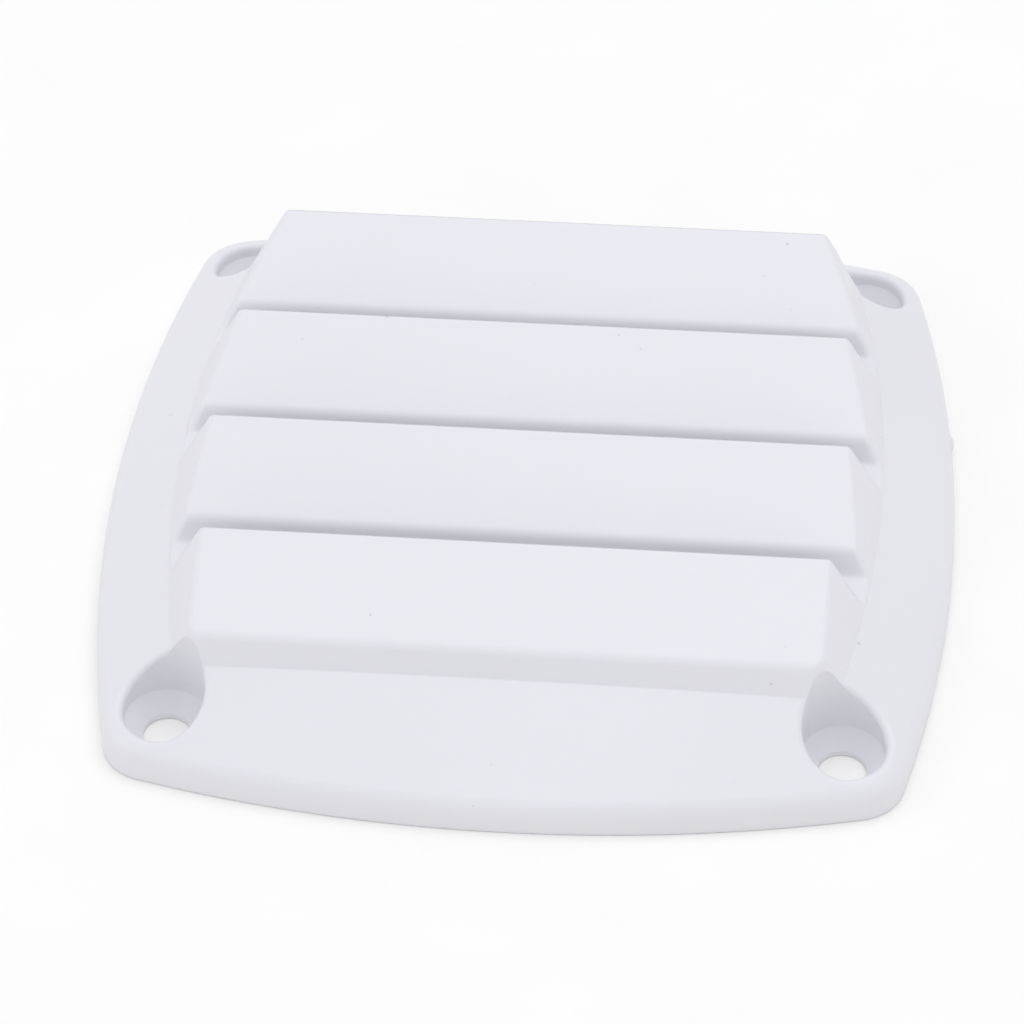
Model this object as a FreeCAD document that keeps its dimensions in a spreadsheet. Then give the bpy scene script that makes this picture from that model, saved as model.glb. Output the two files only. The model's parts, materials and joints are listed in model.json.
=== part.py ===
import FreeCAD, Part
import math
import os
import re
import Sketcher
from FreeCAD import Vector

# Louvred vent cover for a roof or wall outlet: one white moulding on a square domed flange,
# with an insect screen clamped inside it by a flat frame and four small screws.
# Frame: origin at the centre of the flange's mounting face, +Z out of the roof,
# +Y towards the side the louvres open to, +X across the louvres. Millimetres.

SIZES = [
    # The square flange: four bowed sides, a low rim and a slope up to a flat crown.
    ("flange_size", 127.0),
    ("flange_side_radius", 219.0),
    ("flange_corner_radius", 7.6),
    ("rim_height", 4.2),
    ("rim_round", 3.0),
    ("crown_height", 12.7),
    ("crown_half_width", 51.3),
    ("crown_half_depth", 45.3),
    ("crown_end_radius", 4000.0),
    ("crown_corner_radius", 3.0),
    ("skirt_height", 2.6),
    ("ceiling_half_width", 50.4),
    ("ceiling_half_depth", 44.6),
    ("wall", 2.4),
    # The louvred hood: bowed sides that lean in as they rise.
    ("hood_half_width", 52.06),
    ("hood_side_radius", 194.3),
    ("hood_lean", 0.547),
    ("hood_root_height", 10.5),
    ("louvre_height", 21.56),
    ("rear_louvre_y", 44.8),
    ("louvre_pitch", 24.0),
    ("louvre_slope", 0.315),
    ("louvre_depth", 16.5),
    ("louvre_front_run", 1.9),
    ("louvre_count", 4),
    ("hood_corner_round", 3.0),
    ("ridge_round", 2.2),
    ("foot_round", 1.2),
    ("edge_round", 1.0),
    ("well_rim_round", 0.9),
    # The four screw wells in the corners.
    ("hole_spacing", 97.0),
    ("hole_radius", 3.5),
    ("well_radius", 6.0),
    ("seat_low", 0.8),
    ("seat_high", 3.6),
    ("boss_radius", 8.2),
    # The insect screen, its frame, posts and screws.
    ("post_spacing", 97.0),
    ("post_radius", 3.2),
    ("pilot_radius", 1.25),
    ("pilot_depth", 5.0),
    ("screen_top", 4.6),
    ("screen_thickness", 0.5),
    ("screen_half", 50.5),
    ("screen_corner_cut", 19.5),
    ("frame_half", 52.0),
    ("frame_width", 7.0),
    ("frame_thickness", 1.8),
    ("frame_corner_cut", 20.5),
    ("frame_hole_radius", 1.7),
    ("shank_radius", 1.2),
    ("shank_length", 6.0),
    ("head_radius", 2.6),
    ("head_height", 1.5),
]

doc = FreeCAD.newDocument("louvred_vent_cover")
sheet = doc.addObject("Spreadsheet::Sheet", "sizes")
for row, (alias, value) in enumerate(SIZES, start=1):
    sheet.set("A%d" % row, alias)
    sheet.set("B%d" % row, str(value))
    sheet.setAlias("B%d" % row, alias)
doc.recompute()


HALF = "flange_size / 2"
RIDGE_HEIGHT = "louvre_height - louvre_slope * louvre_depth"
SIDE_WALL = "wall * sqrt(1 + hood_lean ^ 2)"
FRONT_LEAN = "louvre_front_run / (%s - crown_height)" % RIDGE_HEIGHT
FRONT_WALL = "wall * sqrt(1 + (%s) ^ 2)" % FRONT_LEAN
ROOF_WALL = "wall * sqrt(1 + louvre_slope ^ 2)"
FRONT_FOOT = "rear_louvre_y - 3 * louvre_pitch - louvre_depth - louvre_front_run"


def number(expression):
    """The plain number that an expression of sheet sizes comes to."""
    return float(sheet.evalExpression(expression))


def size(text):
    """An expression in which every alias is written with the sheet's name before it."""
    aliases = "|".join(alias for alias, _ in SIZES)
    return re.sub(r"\b(%s)\b" % aliases, r"sizes.\1", text)


def new_body(label):
    body = doc.addObject("PartDesign::Body", label)
    body.Label = label
    return body


def origin_part(body, role):
    return next(f for f in body.Origin.OriginFeatures if f.Role == role)


def new_sketch(body, name, plane="XY_Plane", height=None):
    """A sketch on one of the body's own planes, raised along its normal by height."""
    sketch = body.newObject("Sketcher::SketchObject", name)
    sketch.AttachmentSupport = [(origin_part(body, plane), "")]
    sketch.MapMode = "FlatFace"
    if height is not None:
        sketch.setExpression(".AttachmentOffset.Base.z", size(height))
    return sketch


def bind(sketch, kind, *where_and_size):
    """Add a dimension to a sketch and bind it to an expression of sheet sizes."""
    where = where_and_size[:-1]
    expression = size(where_and_size[-1])
    index = sketch.addConstraint(Sketcher.Constraint(kind, *where, number(expression)))
    sketch.setExpression("Constraints[%d]" % index, expression)


def arc(centre_x, centre_y, radius, start, end):
    circle = Part.Circle(Vector(centre_x, centre_y, 0), Vector(0, 0, 1), radius)
    return Part.ArcOfCircle(circle, start, end)


def bowed_outline(body, name, height, half_x, half_y, radius_x, radius_y, corner_radius):
    """A sketch of a rectangle with bowed sides and round corners, tangent all the way.

    radius_x is the radius of the two sides that cross the X axis, radius_y of the other two.
    """
    sketch = new_sketch(body, name, height=height)
    texts = (half_x, half_y, radius_x, radius_y, corner_radius)
    a, b, big_x, big_y, small = (number(size(text)) for text in texts)
    shift_x, shift_y = big_x - a, big_y - b
    reach_x, reach_y = big_x - small, big_y - small
    apart = math.hypot(shift_x, shift_y)
    along = (reach_x**2 - reach_y**2 + apart**2) / (2 * apart)
    off = math.sqrt(reach_x**2 - along**2)
    unit_x, unit_y = shift_x / apart, -shift_y / apart
    corner_x = -shift_x + along * unit_x - off * unit_y
    corner_y = along * unit_y + off * unit_x
    turn_x = math.atan2(corner_y, corner_x + shift_x)
    turn_y = math.atan2(corner_x, corner_y + shift_y)
    quarter = math.pi / 2
    sides = [(-shift_x, 0, big_x, turn_x), (0, -shift_y, big_y, turn_y)]
    sides += [(shift_x, 0, big_x, turn_x), (0, shift_y, big_y, turn_y)]
    corners = [(corner_x, corner_y), (-corner_x, corner_y), (-corner_x, -corner_y), (corner_x, -corner_y)]
    for k in range(4):
        centre_x, centre_y, radius, turn = sides[k]
        next_turn = sides[(k + 1) % 4][3]
        middle = k * quarter
        sketch.addGeometry(arc(centre_x, centre_y, radius, middle - turn, middle + turn))
        sketch.addGeometry(arc(*corners[k], small, middle + turn, middle + quarter - next_turn))
    for k in range(8):
        sketch.addConstraint(Sketcher.Constraint("Tangent", k, 2, (k + 1) % 8, 1))
    for k, axis in ((0, -1), (4, -1), (2, -2), (6, -2)):
        sketch.addConstraint(Sketcher.Constraint("PointOnObject", k, 3, axis))
    for first, second in ((0, 4), (2, 6), (1, 3), (1, 5), (1, 7)):
        sketch.addConstraint(Sketcher.Constraint("Equal", first, second))
    bind(sketch, "Radius", 0, radius_x)
    bind(sketch, "Radius", 2, radius_y)
    bind(sketch, "Radius", 1, corner_radius)
    offset_x = "(%s) - (%s)" % (radius_x, half_x)
    offset_y = "(%s) - (%s)" % (radius_y, half_y)
    bind(sketch, "DistanceX", 0, 3, -1, 1, offset_x)
    bind(sketch, "DistanceY", 2, 3, -1, 1, offset_y)
    bind(sketch, "DistanceX", -1, 1, 4, 3, offset_x)
    bind(sketch, "DistanceY", -1, 1, 6, 3, offset_y)
    return sketch


def rim_outline(body, name, height, inset):
    """The flange's bowed square outline at a height, drawn in by inset."""
    half = "%s - (%s)" % (HALF, inset)
    radius = "flange_side_radius - (%s)" % inset
    corner = "flange_corner_radius - (%s)" % inset
    return bowed_outline(body, name, height, half, half, radius, radius, corner)


def hood_section(body, name, height, inset, front, rear):
    """A level section of the hood: two bowed sides between a straight front and rear."""
    sketch = new_sketch(body, name, height=height)
    half = "hood_half_width - hood_lean * ((%s) - crown_height) - (%s)" % (height, inset)
    radius = "hood_side_radius - (%s)" % inset
    shift = "(%s) - (%s)" % (radius, half)
    big, back, low, high = (number(size(text)) for text in (radius, shift, front, rear))
    start, end = math.asin(low / big), math.asin(high / big)
    right_low = Vector(big * math.cos(start) - back, low, 0)
    right_high = Vector(big * math.cos(end) - back, high, 0)
    left_high = Vector(-right_high.x, high, 0)
    left_low = Vector(-right_low.x, low, 0)
    sketch.addGeometry(arc(-back, 0, big, start, end))
    sketch.addGeometry(Part.LineSegment(right_high, left_high))
    sketch.addGeometry(arc(back, 0, big, math.pi - end, math.pi - start))
    sketch.addGeometry(Part.LineSegment(left_low, right_low))
    for k in range(4):
        sketch.addConstraint(Sketcher.Constraint("Coincident", k, 2, (k + 1) % 4, 1))
    for k in (0, 2):
        sketch.addConstraint(Sketcher.Constraint("PointOnObject", k, 3, -1))
    for k in (1, 3):
        sketch.addConstraint(Sketcher.Constraint("Horizontal", k))
    sketch.addConstraint(Sketcher.Constraint("Equal", 0, 2))
    bind(sketch, "Radius", 0, radius)
    bind(sketch, "DistanceX", 0, 3, -1, 1, shift)
    bind(sketch, "DistanceX", -1, 1, 2, 3, shift)
    bind(sketch, "DistanceY", -1, 1, 1, 1, rear)
    bind(sketch, "DistanceY", -1, 1, 3, 1, front)
    return sketch


def polygon(body, name, plane, corners, height=None):
    """A closed sketch of straight lines whose corners are pairs of size expressions."""
    sketch = new_sketch(body, name, plane, height)
    points = [Vector(number(size(x)), number(size(y)), 0) for x, y in corners]
    count = len(points)
    for k in range(count):
        sketch.addGeometry(Part.LineSegment(points[k], points[(k + 1) % count]))
    for k in range(count):
        sketch.addConstraint(Sketcher.Constraint("Coincident", k, 2, (k + 1) % count, 1))
    for k, (x, y) in enumerate(corners):
        bind(sketch, "DistanceX", -1, 1, k, 1, x)
        bind(sketch, "DistanceY", -1, 1, k, 1, y)
    return sketch


def rounded_polygon(body, name, plane, corners):
    """As polygon, with a tangent arc at each corner that has a radius as its third item."""
    sketch = new_sketch(body, name, plane)
    count = len(corners)
    points = [Vector(number(size(c[0])), number(size(c[1])), 0) for c in corners]
    ends = []
    for k, corner in enumerate(corners):
        before = (points[k - 1] - points[k]).normalize()
        after = (points[(k + 1) % count] - points[k]).normalize()
        if len(corner) == 2:
            ends.append((points[k], points[k]))
            continue
        radius = number(size(corner[2]))
        setback = radius / math.tan(before.getAngle(after) / 2)
        ends.append((points[k] + before * setback, points[k] + after * setback))
    for k in range(count):
        sketch.addGeometry(Part.LineSegment(ends[k][1], ends[(k + 1) % count][0]))
    for k, corner in enumerate(corners):
        line_in, line_out = (k - 1) % count, k
        if len(corner) == 2:
            sketch.addConstraint(Sketcher.Constraint("Coincident", line_in, 2, line_out, 1))
            bind(sketch, "DistanceX", -1, 1, line_out, 1, corner[0])
            bind(sketch, "DistanceY", -1, 1, line_out, 1, corner[1])
            continue
        start, end = ends[k]
        before = (start - points[k]).normalize()
        after = (end - points[k]).normalize()
        inward = (before + after).normalize()
        radius = number(size(corner[2]))
        centre = points[k] + inward * (radius / math.sin(before.getAngle(after) / 2))
        angles = [math.atan2((p - centre).y, (p - centre).x) for p in (start, end)]
        forward = (angles[1] - angles[0]) % (2 * math.pi) < math.pi
        low, high = angles if forward else angles[::-1]
        curve = sketch.addGeometry(arc(centre.x, centre.y, radius, low, high))
        first, last = (1, 2) if forward else (2, 1)
        sketch.addConstraint(Sketcher.Constraint("Tangent", line_in, 2, curve, first))
        sketch.addConstraint(Sketcher.Constraint("Tangent", curve, last, line_out, 1))
        bind(sketch, "Radius", curve, corner[2])
        apex = sketch.addGeometry(Part.Point(points[k]), True)
        sketch.addConstraint(Sketcher.Constraint("PointOnObject", apex, 1, line_in))
        sketch.addConstraint(Sketcher.Constraint("PointOnObject", apex, 1, line_out))
        bind(sketch, "DistanceX", -1, 1, apex, 1, corner[0])
        bind(sketch, "DistanceY", -1, 1, apex, 1, corner[1])
    return sketch


def circle_sketch(body, name, x, y, radius, height=None):
    """A sketch of one circle whose centre and radius are size expressions."""
    sketch = new_sketch(body, name, height=height)
    centre = Vector(number(size(x)), number(size(y)), 0)
    sketch.addGeometry(Part.Circle(centre, Vector(0, 0, 1), number(size(radius))))
    bind(sketch, "DistanceX", -1, 1, 0, 3, x)
    bind(sketch, "DistanceY", -1, 1, 0, 3, y)
    bind(sketch, "Radius", 0, radius)
    return sketch


def pad(body, name, sketch, length):
    feature = body.newObject("PartDesign::Pad", name)
    feature.Profile = sketch
    feature.setExpression("Length", size(length))
    return feature


def pocket_up(body, name, sketch, length=None):
    """Cut upwards from the sketch: by a length, or through everything above it."""
    feature = body.newObject("PartDesign::Pocket", name)
    feature.Profile = sketch
    feature.Reversed = True
    if length is None:
        feature.Type = "ThroughAll"
    else:
        feature.setExpression("Length", size(length))
    return feature


def pocket_across(body, name, sketch):
    """Cut right through the body on both sides of the sketch."""
    feature = body.newObject("PartDesign::Pocket", name)
    feature.Profile = sketch
    feature.SideType = "Symmetric"
    feature.Type = "ThroughAll"
    return feature


def loft(body, name, lower, upper):
    feature = body.newObject("PartDesign::AdditiveLoft", name)
    feature.Profile = lower
    feature.Sections = [upper]
    feature.Ruled = True
    return feature


def along_louvres(body, name, feature, occurrences):
    """Repeat a cut from one louvre to the next, towards the front."""
    pattern = body.newObject("PartDesign::LinearPattern", name)
    pattern.Originals = [feature]
    pattern.Direction = (origin_part(body, "Y_Axis"), [""])
    pattern.Reversed = True
    pattern.Occurrences = occurrences
    pattern.setExpression("Length", size("louvre_pitch * %d" % (occurrences - 1)))
    body.Tip = pattern
    return pattern


def four_round(body, name, features):
    """Repeat cuts at the four corners or sides by quarter turns about Z."""
    pattern = body.newObject("PartDesign::PolarPattern", name)
    pattern.Originals = features
    pattern.Axis = (origin_part(body, "Z_Axis"), [""])
    pattern.Angle = 360
    pattern.Occurrences = 4
    body.Tip = pattern
    return pattern


def fillet(body, name, radius, wanted):
    """Round the edges of the body so far for which wanted(edge) is true."""
    doc.recompute()
    base = body.Tip
    names = ["Edge%d" % (k + 1) for k, edge in enumerate(base.Shape.Edges) if wanted(edge)]
    feature = body.newObject("PartDesign::Fillet", name)
    feature.Base = (base, names)
    feature.setExpression("Radius", size(radius))
    doc.recompute()
    return feature


def at_height(height, tolerance=0.01):
    """A test for level edges at one height."""
    def test(edge):
        box = edge.BoundBox
        return abs(box.ZMin - height) < tolerance and abs(box.ZMax - height) < tolerance
    return test


def upright(edge):
    """The two corners between the hood's front face and its sides."""
    box = edge.BoundBox
    return box.ZLength > 10 and box.YMax < -38 and box.YMin < -46


def louvre_edge(edge):
    """The long edge at each end of a louvre's top face."""
    box = edge.BoundBox
    return box.ZMax > 21.5 and 15.5 < box.ZMin < 18.5 and 10 < box.YLength < 18


def well_rim(edge):
    """The upper rim of a screw well on the flange."""
    reach = number(size("hole_spacing / 2"))
    radius = number(size("well_radius"))
    if edge.Length < 0.001 or edge.BoundBox.ZMin < 4:
        return False
    stretch = edge.LastParameter - edge.FirstParameter
    points = [edge.valueAt(edge.FirstParameter + t * stretch) for t in (0, 0.3, 0.7, 1)]
    distances = [math.hypot(abs(p.x) - reach, abs(p.y) - reach) for p in points]
    return max(abs(d - radius) for d in distances) < 0.01


def front_at(height):
    """Where the hood's front face lies at a height."""
    return "%s + %s * ((%s) - crown_height)" % (FRONT_FOOT, FRONT_LEAN, height)


def build_shell():
    """The outside of the moulding: flange, hood, screw wells, louvres and rounds."""
    body = new_body("shell")
    foot = rim_outline(body, "foot_outline", "0", "0")
    pad(body, "rim", foot, "rim_height")
    lower = rim_outline(body, "rim_outline", "rim_height", "0")
    upper = bowed_outline(
        body,
        "crown_outline",
        "crown_height",
        "crown_half_width",
        "crown_half_depth",
        "hood_side_radius",
        "crown_end_radius",
        "crown_corner_radius",
    )
    loft(body, "flange_slope", lower, upper)
    fillet(body, "rim_edge", "rim_round", at_height(number(size("rim_height"))))
    cut_wells(body)
    fillet(body, "well_rims", "well_rim_round", well_rim)
    root = hood_section(
        body, "hood_root", "hood_root_height", "0", front_at("hood_root_height"), "rear_louvre_y"
    )
    top = hood_section(
        body, "hood_top", "louvre_height", "0", front_at("louvre_height"), "rear_louvre_y"
    )
    loft(body, "hood", root, top)
    fillet(body, "hood_corners", "hood_corner_round", upright)
    cut_louvres(body)
    fillet(body, "louvre_edges", "edge_round", louvre_edge)
    reopen_wells(body)
    return body


def cut_louvres(body):
    """Cut away what lies above and between the louvres."""
    gap = rounded_polygon(
        body,
        "louvre_gap",
        "YZ_Plane",
        [
            ("rear_louvre_y", "louvre_height"),
            ("rear_louvre_y", "louvre_height + 4"),
            ("rear_louvre_y - louvre_pitch", "louvre_height + 4"),
            ("rear_louvre_y - louvre_pitch", "crown_height"),
            ("rear_louvre_y - louvre_depth - louvre_front_run", "crown_height", "foot_round"),
            ("rear_louvre_y - louvre_depth", RIDGE_HEIGHT, "ridge_round"),
        ],
    )
    cut = pocket_across(body, "louvre_cut", gap)
    along_louvres(body, "louvre_cuts", cut, int(number(size("louvre_count"))))


def cut_wells(body):
    """Cut the four screw wells: an upright bore, a cone for the screw's head and the hole."""
    reach = "hole_spacing / 2"
    well = pocket_up(body, "well_cut", circle_sketch(body, "well", reach, reach, "well_radius", "seat_high"))
    hole = circle_sketch(body, "screw_hole", reach, reach, "hole_radius", "0")
    hole_cut = pocket_up(body, "screw_hole_cut", hole, "seat_high")
    seat = body.newObject("PartDesign::SubtractiveCone", "seat_cut")
    seat.setExpression("Radius1", size("hole_radius"))
    seat.setExpression("Radius2", size("well_radius"))
    seat.setExpression("Height", size("seat_high - seat_low"))
    seat.AttachmentSupport = [(origin_part(body, "XY_Plane"), "")]
    seat.MapMode = "FlatFace"
    seat.setExpression(".AttachmentOffset.Base.x", size(reach))
    seat.setExpression(".AttachmentOffset.Base.y", size(reach))
    seat.setExpression(".AttachmentOffset.Base.z", size("seat_low"))
    four_round(body, "corner_wells", [well, hole_cut, seat])


def reopen_wells(body):
    """Cut the wells' bores again where the hood has covered them."""
    reach = "hole_spacing / 2"
    radius = "well_radius + 0.01"
    outline = circle_sketch(body, "well_top", reach, reach, radius, "seat_high + 2")
    well = pocket_up(body, "well_top_cut", outline)
    four_round(body, "well_tops", [well])


def build_hollow():
    """The space inside the moulding, less the solid bosses and the screen's posts."""
    body = new_body("hollow")
    ceiling = "crown_height - wall"
    foot = rim_outline(body, "skirt_outline", "-1", "wall")
    pad(body, "skirt", foot, "1 + skirt_height")
    lower = rim_outline(body, "skirt_top", "skirt_height", "wall")
    upper = bowed_outline(
        body,
        "ceiling_outline",
        ceiling,
        "ceiling_half_width",
        "ceiling_half_depth",
        "hood_side_radius",
        "crown_end_radius",
        "crown_corner_radius",
    )
    loft(body, "under_slope", lower, upper)
    front_low = "%s + %s" % (front_at("hood_root_height - 1"), FRONT_WALL)
    front_mid = "%s + %s" % (front_at("crown_height"), FRONT_WALL)
    front_high = "%s + %s" % (front_at("louvre_height"), FRONT_WALL)
    rear = "rear_louvre_y - wall"
    root = hood_section(body, "hollow_root", "hood_root_height - 1", SIDE_WALL, front_low, rear)
    middle = hood_section(body, "hollow_middle", "crown_height", SIDE_WALL, front_mid, rear)
    loft(body, "hollow_low", root, middle)
    past = "rear_louvre_y + 1"
    middle = hood_section(body, "mouth_middle", "crown_height", SIDE_WALL, front_mid, past)
    top = hood_section(body, "mouth_top", "louvre_height", SIDE_WALL, front_high, past)
    loft(body, "hollow_high", middle, top)
    roof = "louvre_height - " + ROOF_WALL
    ridge_y = "rear_louvre_y + louvre_pitch - louvre_depth + 1"
    ridge_z = "%s - louvre_slope * (louvre_depth - 1)" % roof
    foot_y = "%s - %s * (%s - %s)" % (ridge_y, FRONT_LEAN, ridge_z, ceiling)
    solid = polygon(
        body,
        "between_hollows",
        "YZ_Plane",
        [
            ("rear_louvre_y + louvre_pitch + 0.5", roof + " + louvre_slope * 0.5"),
            (ridge_y, ridge_z),
            (foot_y, ceiling),
            ("rear_louvre_y - wall", ceiling),
            ("rear_louvre_y - wall", "crown_height"),
            ("rear_louvre_y + 0.5", "crown_height"),
            ("rear_louvre_y + 0.5", "louvre_height + 4"),
            ("rear_louvre_y + louvre_pitch + 0.5", "louvre_height + 4"),
        ],
    )
    keep = pocket_across(body, "between_cut", solid)
    along_louvres(body, "between_cuts", keep, int(number(size("louvre_count"))) + 1)
    boss = circle_sketch(body, "boss", "hole_spacing / 2", "hole_spacing / 2", "boss_radius", "-1")
    boss_cut = pocket_up(body, "boss_cut", boss)
    four_round(body, "bosses", [boss_cut])
    post = circle_sketch(body, "post", "post_spacing / 2", "0", "post_radius", "screen_top")
    post_cut = pocket_up(body, "post_cut", post)
    four_round(body, "posts", [post_cut])
    pilot = circle_sketch(body, "pilot", "post_spacing / 2", "0", "pilot_radius", "screen_top - 0.5")
    pilot_pad = pad(body, "pilot_pad", pilot, "pilot_depth + 0.5")
    four_round(body, "pilots", [pilot_pad])
    return body


def build_cover():
    cover = doc.addObject("Part::Cut", "cover")
    cover.Base = build_shell()
    cover.Tool = build_hollow()
    cover.Label = "louvre_cover"
    return cover


def chamfered_square(body, name, height, half, corner_cut):
    """A sketch of a square with its corners cut off at 45 degrees."""
    near = "(%s) - (%s)" % (half, corner_cut)
    minus = "-(%s)"
    corners = [
        (half, minus % near),
        (half, near),
        (near, half),
        (minus % near, half),
        (minus % half, near),
        (minus % half, minus % near),
        (minus % near, minus % half),
        (near, minus % half),
    ]
    return polygon(body, name, "XY_Plane", corners, height)


def build_screen():
    """The mesh panel, as a plain sheet with four clearance holes."""
    body = new_body("insect_screen")
    low = "screen_top - screen_thickness"
    outline = chamfered_square(body, "screen_outline", low, "screen_half", "screen_corner_cut")
    pad(body, "screen_sheet", outline, "screen_thickness")
    hole = circle_sketch(body, "screen_hole", "post_spacing / 2", "0", "frame_hole_radius", low)
    cut = pocket_up(body, "screen_hole_cut", hole)
    four_round(body, "screen_holes", [cut])
    return body


def build_frame():
    """The flat frame that holds the screen against the posts."""
    body = new_body("screen_frame")
    low = "screen_top - screen_thickness - frame_thickness"
    outline = chamfered_square(body, "frame_outline", low, "frame_half", "frame_corner_cut")
    pad(body, "frame_plate", outline, "frame_thickness")
    inner_half = "frame_half - frame_width"
    inner_cut = "frame_corner_cut - frame_width * (2 - sqrt(2))"
    window = chamfered_square(body, "frame_window", low, inner_half, inner_cut)
    pocket_up(body, "window_cut", window)
    hole = circle_sketch(body, "frame_hole", "post_spacing / 2", "0", "frame_hole_radius", low)
    cut = pocket_up(body, "frame_hole_cut", hole)
    four_round(body, "frame_holes", [cut])
    return body


def build_screws():
    """The four screen screws: a low round head with a cross slot and a pointed shank."""
    body = new_body("screen_screws")
    seat = "screen_top - screen_thickness - frame_thickness"
    profile = polygon(
        body,
        "screw_profile",
        "XZ_Plane",
        [
            ("post_spacing / 2", seat + " - head_height"),
            ("post_spacing / 2 + head_radius * 0.7", seat + " - head_height"),
            ("post_spacing / 2 + head_radius", seat + " - head_height * 0.4"),
            ("post_spacing / 2 + head_radius", seat),
            ("post_spacing / 2 + shank_radius", seat),
            ("post_spacing / 2 + shank_radius", seat + " + shank_length - 1.5"),
            ("post_spacing / 2 + shank_radius * 0.3", seat + " + shank_length"),
            ("post_spacing / 2", seat + " + shank_length"),
        ],
    )
    turn = body.newObject("PartDesign::Revolution", "screw")
    turn.Profile = profile
    turn.ReferenceAxis = (profile, ["Edge8"])
    turn.Angle = 360
    arm = "head_radius * 0.55"
    half = "head_radius * 0.13"
    minus = "-(%s)"
    cross = [(arm, minus % half), (arm, half), (half, half), (half, arm), (minus % half, arm)]
    cross += [(minus % half, half), (minus % arm, half), (minus % arm, minus % half)]
    cross += [(minus % half, minus % half), (minus % half, minus % arm), (half, minus % arm)]
    cross += [(half, minus % half)]
    cross = [("post_spacing / 2 + " + x, y) for x, y in cross]
    slot = polygon(body, "cross_slot", "XY_Plane", cross, seat + " - head_height")
    slot_cut = pocket_up(body, "cross_slot_cut", slot, "head_height * 0.55")
    body.AllowCompound = True
    four_round(body, "screws", [turn, slot_cut])
    return body


def check(pieces):
    """Stop if any feature failed or any piece is empty or broken."""
    for item in doc.Objects:
        if "Invalid" in item.State or "Error" in item.State:
            raise RuntimeError("%s failed: %s" % (item.Label, item.State))
    for piece in pieces:
        if piece.Shape.isNull() or not piece.Shape.isValid():
            raise RuntimeError("%s has no valid shape" % piece.Label)
        print("%s: %.1f mm3, %d solid(s)" % (piece.Label, piece.Shape.Volume, len(piece.Shape.Solids)))


def main():
    pieces = [build_cover(), build_screen(), build_frame(), build_screws()]
    doc.recompute()
    check(pieces)
    os.makedirs("parts", exist_ok=True)
    for piece in pieces:
        piece.Shape.exportStep("parts/%s.step" % piece.Label)


main()
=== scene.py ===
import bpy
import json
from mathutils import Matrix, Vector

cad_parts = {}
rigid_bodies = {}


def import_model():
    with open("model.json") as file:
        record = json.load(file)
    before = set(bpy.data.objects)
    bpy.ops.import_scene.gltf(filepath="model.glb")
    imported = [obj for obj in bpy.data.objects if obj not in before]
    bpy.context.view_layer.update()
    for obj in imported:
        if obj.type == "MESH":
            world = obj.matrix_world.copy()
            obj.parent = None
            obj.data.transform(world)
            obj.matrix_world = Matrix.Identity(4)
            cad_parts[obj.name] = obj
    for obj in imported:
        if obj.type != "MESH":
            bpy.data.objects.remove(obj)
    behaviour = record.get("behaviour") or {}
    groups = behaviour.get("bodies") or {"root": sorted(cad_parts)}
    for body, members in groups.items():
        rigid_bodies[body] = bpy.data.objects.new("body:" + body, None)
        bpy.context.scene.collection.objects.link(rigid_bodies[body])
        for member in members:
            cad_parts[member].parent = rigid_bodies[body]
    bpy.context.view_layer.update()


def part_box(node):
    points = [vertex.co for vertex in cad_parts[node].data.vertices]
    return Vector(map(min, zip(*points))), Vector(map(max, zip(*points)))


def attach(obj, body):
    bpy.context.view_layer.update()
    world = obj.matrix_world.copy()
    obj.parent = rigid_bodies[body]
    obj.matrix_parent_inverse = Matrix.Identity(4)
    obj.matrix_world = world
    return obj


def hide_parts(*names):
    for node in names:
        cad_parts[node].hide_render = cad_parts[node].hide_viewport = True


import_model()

import json
import math

import bpy
from mathutils import Matrix, Vector

MM = 0.001

# ---------------------------------------------------------------- node helpers


def new_material(name):
    """An empty material with a Principled surface; returns it with its tree and shader."""
    material = bpy.data.materials.new(name)
    material.use_nodes = True
    tree = material.node_tree
    tree.nodes.clear()
    output = tree.nodes.new("ShaderNodeOutputMaterial")
    shader = tree.nodes.new("ShaderNodeBsdfPrincipled")
    tree.links.new(shader.outputs["BSDF"], output.inputs["Surface"])
    return material, tree, shader


def object_coordinates(tree, scale=(1, 1, 1)):
    """Coordinates fixed to the part, in metres times scale."""
    coordinates = tree.nodes.new("ShaderNodeTexCoord")
    mapping = tree.nodes.new("ShaderNodeMapping")
    mapping.inputs["Scale"].default_value = scale
    tree.links.new(coordinates.outputs["Object"], mapping.inputs["Vector"])
    return mapping.outputs["Vector"]


def noise(tree, vector, scale, detail=2.0, roughness=0.5):
    node = tree.nodes.new("ShaderNodeTexNoise")
    node.inputs["Scale"].default_value = scale
    node.inputs["Detail"].default_value = detail
    node.inputs["Roughness"].default_value = roughness
    tree.links.new(vector, node.inputs["Vector"])
    return node.outputs["Fac"]


def ramp(tree, value, stops):
    """A colour ramp through (position, colour) stops."""
    node = tree.nodes.new("ShaderNodeValToRGB")
    elements = node.color_ramp.elements
    while len(elements) < len(stops):
        elements.new(0.5)
    for element, (position, colour) in zip(elements, stops):
        element.position = position
        element.color = (*colour, 1.0)
    tree.links.new(value, node.inputs["Fac"])
    return node.outputs["Color"]


def grey(level):
    return (level, level, level)


def multiply(tree, first, second, factor=1.0):
    node = tree.nodes.new("ShaderNodeMix")
    node.data_type = "RGBA"
    node.blend_type = "MULTIPLY"
    node.inputs["Factor"].default_value = factor
    tree.links.new(first, node.inputs["A"])
    tree.links.new(second, node.inputs["B"])
    return node.outputs["Result"]


def add_bumps(tree, shader, layers, last=None):
    """Chain bump nodes after a first normal; a layer is a height, a strength and a distance."""
    for height, strength, distance in layers:
        node = tree.nodes.new("ShaderNodeBump")
        node.inputs["Strength"].default_value = strength
        node.inputs["Distance"].default_value = distance
        tree.links.new(height, node.inputs["Height"])
        if last is not None:
            tree.links.new(last, node.inputs["Normal"])
        last = node.outputs["Normal"]
    tree.links.new(last, shader.inputs["Normal"])


# ---------------------------------------------------------------- materials


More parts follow.
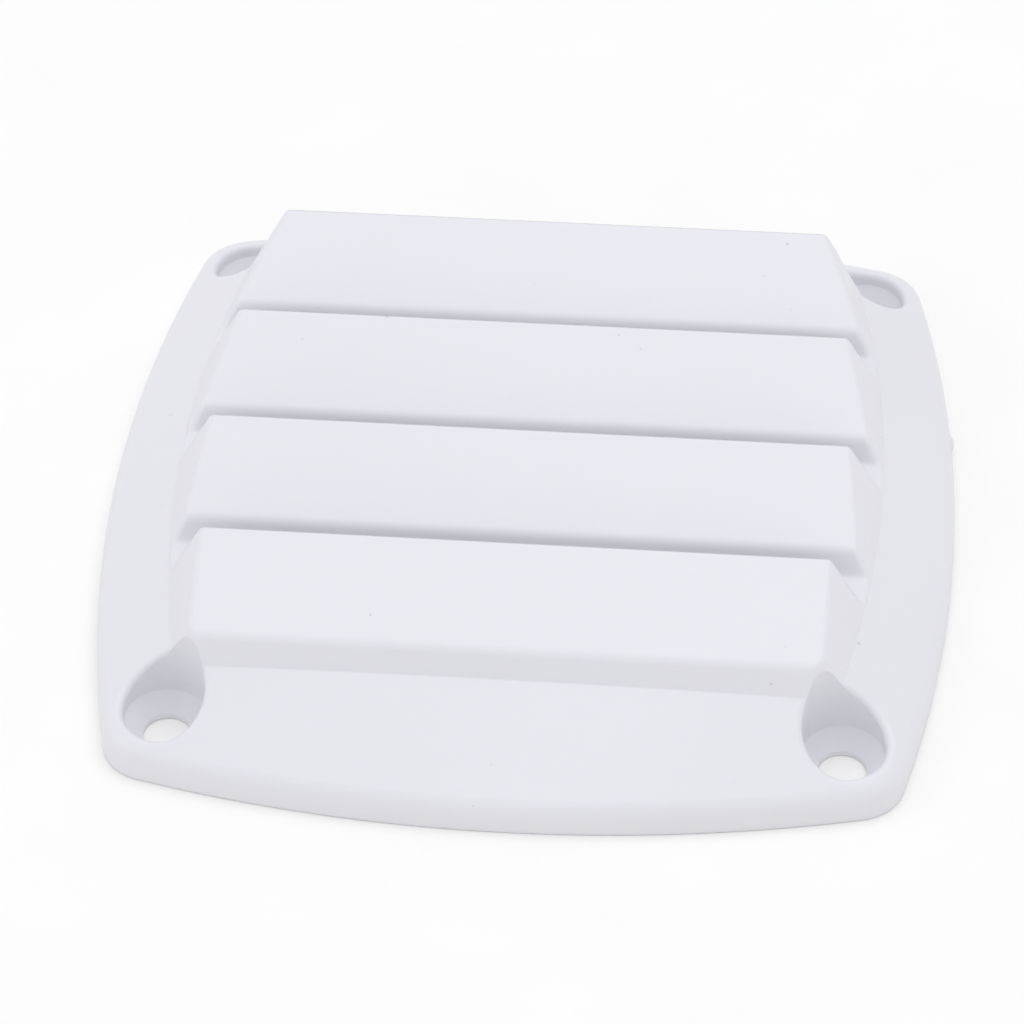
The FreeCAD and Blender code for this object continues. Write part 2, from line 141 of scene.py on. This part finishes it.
def white_abs(name, tint, roughness):
    """Satin white ABS: faint flow mottling, fine orange peel, a few specks and softened edges."""
    material, tree, shader = new_material(name)
    vector = object_coordinates(tree)
    flow = noise(tree, vector, 28.0, 3.0, 0.45)
    low = tuple(c * 0.982 for c in tint)
    base = ramp(tree, flow, [(0.3, low), (0.7, tint)])
    dust = noise(tree, vector, 900.0, 0.0, 0.5)
    specks = ramp(tree, dust, [(0.085, grey(0.82)), (0.12, grey(1.0))])
    colour = multiply(tree, base, specks)
    tree.links.new(colour, shader.inputs["Base Color"])
    gloss = noise(tree, vector, 60.0, 4.0, 0.6)
    rough = ramp(tree, gloss, [(0.3, grey(roughness - 0.04)), (0.7, grey(roughness + 0.05))])
    tree.links.new(rough, shader.inputs["Roughness"])
    peel = noise(tree, vector, 1500.0, 2.0, 0.5)
    wave = noise(tree, vector, 90.0, 1.0, 0.5)
    soft = tree.nodes.new("ShaderNodeBevel")
    soft.samples = 6
    soft.inputs["Radius"].default_value = 0.35 * MM
    add_bumps(tree, shader, [(wave, 0.12, 0.00025), (peel, 0.10, 0.00003)], soft.outputs["Normal"])
    shader.inputs["IOR"].default_value = 1.52
    shader.inputs["Specular IOR Level"].default_value = 0.42
    shader.inputs["Subsurface Weight"].default_value = 0.12
    shader.inputs["Subsurface Radius"].default_value = (1.0, 0.95, 0.9)
    shader.inputs["Subsurface Scale"].default_value = 0.0007
    return material


def steel(name, tint, roughness, grain):
    """Bright stainless steel with a fine grain and a slight unevenness of polish."""
    material, tree, shader = new_material(name)
    vector = object_coordinates(tree, grain)
    streaks = noise(tree, vector, 400.0, 3.0, 0.6)
    low = tuple(c * 0.86 for c in tint)
    tree.links.new(ramp(tree, streaks, [(0.3, low), (0.7, tint)]), shader.inputs["Base Color"])
    rough = ramp(tree, streaks, [(0.3, grey(roughness - 0.08)), (0.7, grey(roughness + 0.08))])
    tree.links.new(rough, shader.inputs["Roughness"])
    add_bumps(tree, shader, [(streaks, 0.15, 0.00002)])
    shader.inputs["Metallic"].default_value = 1.0
    return material


def dress(obj, material):
    """Give every slot of an object one material."""
    if not obj.data.materials:
        obj.data.materials.append(material)
    for slot in obj.material_slots:
        slot.material = material


# ---------------------------------------------------------------- the woven screen

WIRE_PITCH = 1.9 * MM
WIRE_SIDES = 4
SCREEN_CORNER_CUT = 19.5 * MM
SCREEN_POST = 48.5 * MM
SCREEN_HOLE_RADIUS = 1.9 * MM


def inside_screen(x, y, half, reach, holes):
    """Whether a point of the mesh lies on the panel and clear of the screw holes."""
    if max(abs(x), abs(y)) > half or abs(x) + abs(y) > reach:
        return False
    return all(math.hypot(x - hx, y - hy) > radius for hx, hy, radius in holes)


def wire_runs(along, fixed, limits, pitch, swing, phase, level):
    """The stretches of one wire as lists of points, waving over and under its crossings."""
    half, reach, holes = limits
    steps = int(round(2 * half / pitch)) * 2
    runs, run = [], []
    for k in range(steps + 1):
        t = -half + 2 * half * k / steps
        x, y = (t, fixed) if along == "x" else (fixed, t)
        if inside_screen(x, y, half, reach, holes):
            z = level + swing * math.cos(math.pi * (t + half) / pitch + phase)
            run.append(Vector((x, y, z)))
            continue
        if len(run) > 2:
            runs.append(run)
        run = []
    if len(run) > 2:
        runs.append(run)
    return runs


def sweep(runs, radius, sides, across):
    """Vertices and faces of round wires along runs of points; across is a level side direction."""
    vertices, faces = [], []
    for run in runs:
        first = len(vertices)
        for point in run:
            for s in range(sides):
                angle = 2 * math.pi * (s + 0.5) / sides
                offset = across * math.cos(angle) + Vector((0, 0, 1)) * math.sin(angle)
                vertices.append(point + offset * radius)
        for k in range(len(run) - 1):
            for s in range(sides):
                a = first + k * sides + s
                b = first + k * sides + (s + 1) % sides
                faces.append((a, a + sides, b + sides, b))
        last = first + (len(run) - 1) * sides
        faces.append(tuple(first + s for s in range(sides)))
        faces.append(tuple(last + s for s in reversed(range(sides))))
    return vertices, faces


def build_screen(material):
    """Woven wire in the place of the plain panel, ending under its clamping frame."""
    low, high = (Vector(corner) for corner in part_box("insect_screen"))
    half = high.x
    level = (low.z + high.z) / 2
    radius = (high.z - low.z) / 4.2
    swing = (high.z - low.z) / 2 - radius
    reach = 2 * half - SCREEN_CORNER_CUT
    posts = [(SCREEN_POST, 0), (-SCREEN_POST, 0), (0, SCREEN_POST), (0, -SCREEN_POST)]
    holes = [(x, y, SCREEN_HOLE_RADIUS) for x, y in posts]
    limits = (half, reach, holes)
    pitch = WIRE_PITCH
    count = int(2 * half / pitch)
    start = -pitch * (count - 1) / 2
    warp, weft = [], []
    for k in range(count):
        fixed = start + k * pitch
        phase = math.pi * k
        warp += wire_runs("x", fixed, limits, pitch, swing, phase, level)
        weft += wire_runs("y", fixed, limits, pitch, swing, phase + math.pi, level)
    vertices, faces = sweep(warp, radius, WIRE_SIDES, Vector((0, 1, 0)))
    more, extra = sweep(weft, radius, WIRE_SIDES, Vector((1, 0, 0)))
    shift = len(vertices)
    vertices += more
    faces += [tuple(i + shift for i in face) for face in extra]
    mesh = bpy.data.meshes.new("woven_screen")
    mesh.from_pydata(vertices, [], faces)
    mesh.update()
    mesh.shade_smooth()
    screen = bpy.data.objects.new("woven_screen", mesh)
    bpy.context.scene.collection.objects.link(screen)
    dress(screen, material)
    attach(screen, "root")
    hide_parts("insect_screen")
    return screen


# ---------------------------------------------------------------- the moulding gate's mark

GATE_MIDDLE = Vector((62.45, 19.6, 1.9)) * MM
GATE_REACH = Vector((0.75, 1.5, 1.3)) * MM


def build_gate_mark(material):
    """The small nub left on the right-hand edge of the flange where the moulding was cut free."""
    middle, reach = GATE_MIDDLE, GATE_REACH
    rings, sides = 8, 16
    vertices = [middle - Vector((0, 0, reach.z))]
    for k in range(1, rings):
        tilt = math.pi * k / rings
        for s in range(sides):
            turn = 2 * math.pi * s / sides
            x = math.sin(tilt) * math.cos(turn)
            y = math.sin(tilt) * math.sin(turn)
            vertices.append(middle + Vector((x * reach.x, y * reach.y, -math.cos(tilt) * reach.z)))
    vertices.append(middle + Vector((0, 0, reach.z)))
    top = len(vertices) - 1
    faces = []
    for s in range(sides):
        following = (s + 1) % sides
        faces.append((0, 1 + following, 1 + s))
        for k in range(rings - 2):
            a = 1 + k * sides + s
            b = 1 + k * sides + following
            faces.append((a, b, b + sides, a + sides))
        faces.append((top - sides + s, top - sides + following, top))
    mesh = bpy.data.meshes.new("gate_mark")
    mesh.from_pydata(vertices, [], faces)
    mesh.update()
    mesh.shade_smooth()
    mark = bpy.data.objects.new("gate_mark", mesh)
    bpy.context.scene.collection.objects.link(mark)
    dress(mark, material)
    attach(mark, "root")
    return mark


# ---------------------------------------------------------------- floor, light and camera

FLOOR_SIDE = 3.0
FLOOR_LEVEL = -0.1 * MM
COOL_WHITE = (0.975, 0.975, 1.0)

# The camera's place on a sphere about the origin, then its shifts in its own picture plane.
CAMERA_ANGLES = (5.91, 43.54, 1.14)
CAMERA_DISTANCE = 653.07 * MM
CAMERA_SHIFT_RIGHT = 3.02 * MM
CAMERA_SHIFT_DOWN = 1.38 * MM
LENS = 151.82
SENSOR_WIDTH = 36.0


def build_floor():
    mesh = bpy.data.meshes.new("floor")
    side, level = FLOOR_SIDE, FLOOR_LEVEL
    corners = [(-side, -side, level), (side, -side, level), (side, side, level), (-side, side, level)]
    mesh.from_pydata(corners, [], [(0, 1, 2, 3)])
    floor = bpy.data.objects.new("floor", mesh)
    bpy.context.scene.collection.objects.link(floor)
    material, tree, shader = new_material("floor_paper")
    vector = object_coordinates(tree)
    fibres = noise(tree, vector, 40.0, 3.0, 0.5)
    colour = ramp(tree, fibres, [(0.3, (0.87, 0.87, 0.845)), (0.7, (0.89, 0.89, 0.865))])
    tree.links.new(colour, shader.inputs["Base Color"])
    shader.inputs["Roughness"].default_value = 0.9
    shader.inputs["Specular IOR Level"].default_value = 0.1
    shader.inputs["Emission Color"].default_value = (1, 1, 1, 1)
    shader.inputs["Emission Strength"].default_value = 0.10
    floor.data.materials.append(material)
    return floor


def add_area(name, place, size, power, colour):
    """A round soft lamp that points at the origin."""
    light = bpy.data.lights.new(name, "AREA")
    light.shape = "DISK"
    light.size = size
    light.energy = power
    light.color = colour
    lamp = bpy.data.objects.new(name, light)
    bpy.context.scene.collection.objects.link(lamp)
    lamp.location = place
    aim = -Vector(place)
    lamp.rotation_euler = aim.to_track_quat("-Z", "Y").to_euler()
    return lamp


def build_light():
    world = bpy.data.worlds.new("studio")
    world.use_nodes = True
    background = world.node_tree.nodes["Background"]
    background.inputs["Color"].default_value = (0.965, 0.965, 1.0, 1)
    background.inputs["Strength"].default_value = 0.75
    bpy.context.scene.world = world
    add_area("overhead", (0.15, 0.1, 1.1), 1.1, 3.9, COOL_WHITE)
    add_area("side_fill", (-1.0, -0.3, 0.7), 0.9, 1.2, COOL_WHITE)
    bpy.context.scene.view_settings.view_transform = "Standard"
    bpy.context.scene.view_settings.look = "None"


def build_camera():
    """A long lens above the front edge, turned a little to the right of the front."""
    azimuth, elevation, roll = (math.radians(angle) for angle in CAMERA_ANGLES)
    back = Vector(
        (
            math.sin(azimuth) * math.cos(elevation),
            -math.cos(azimuth) * math.cos(elevation),
            math.sin(elevation),
        )
    )
    forward = -back
    right = forward.cross(Vector((0, 0, 1))).normalized()
    down = forward.cross(right).normalized()
    side = math.cos(roll) * right + math.sin(roll) * down
    under = -math.sin(roll) * right + math.cos(roll) * down
    place = -(CAMERA_SHIFT_RIGHT * side + CAMERA_SHIFT_DOWN * under + CAMERA_DISTANCE * forward)
    turn = Matrix((side, -under, -forward)).transposed()
    lens = bpy.data.cameras.new("camera")
    lens.sensor_width = SENSOR_WIDTH
    lens.lens = LENS
    lens.clip_start = 0.01
    camera = bpy.data.objects.new("camera", lens)
    bpy.context.scene.collection.objects.link(camera)
    camera.matrix_world = Matrix.Translation(place) @ turn.to_4x4()
    bpy.context.scene.camera = camera


# ---------------------------------------------------------------- the part


def main():
    nodes = bpy.data.objects
    cover_white = white_abs("white_abs_satin", (0.812, 0.812, 0.842), 0.42)
    frame_white = white_abs("white_plastic_frame", (0.76, 0.76, 0.79), 0.5)
    wire = steel("stainless_wire", (0.62, 0.62, 0.61), 0.32, (1, 1, 1))
    screw = steel("stainless_screw", (0.66, 0.65, 0.63), 0.3, (3, 3, 1))
    dress(nodes["louvre_cover"], cover_white)
    dress(nodes["screen_frame"], frame_white)
    dress(nodes["screen_screws"], screw)
    build_screen(wire)
    build_gate_mark(cover_white)
    build_floor()
    build_light()
    build_camera()


main()
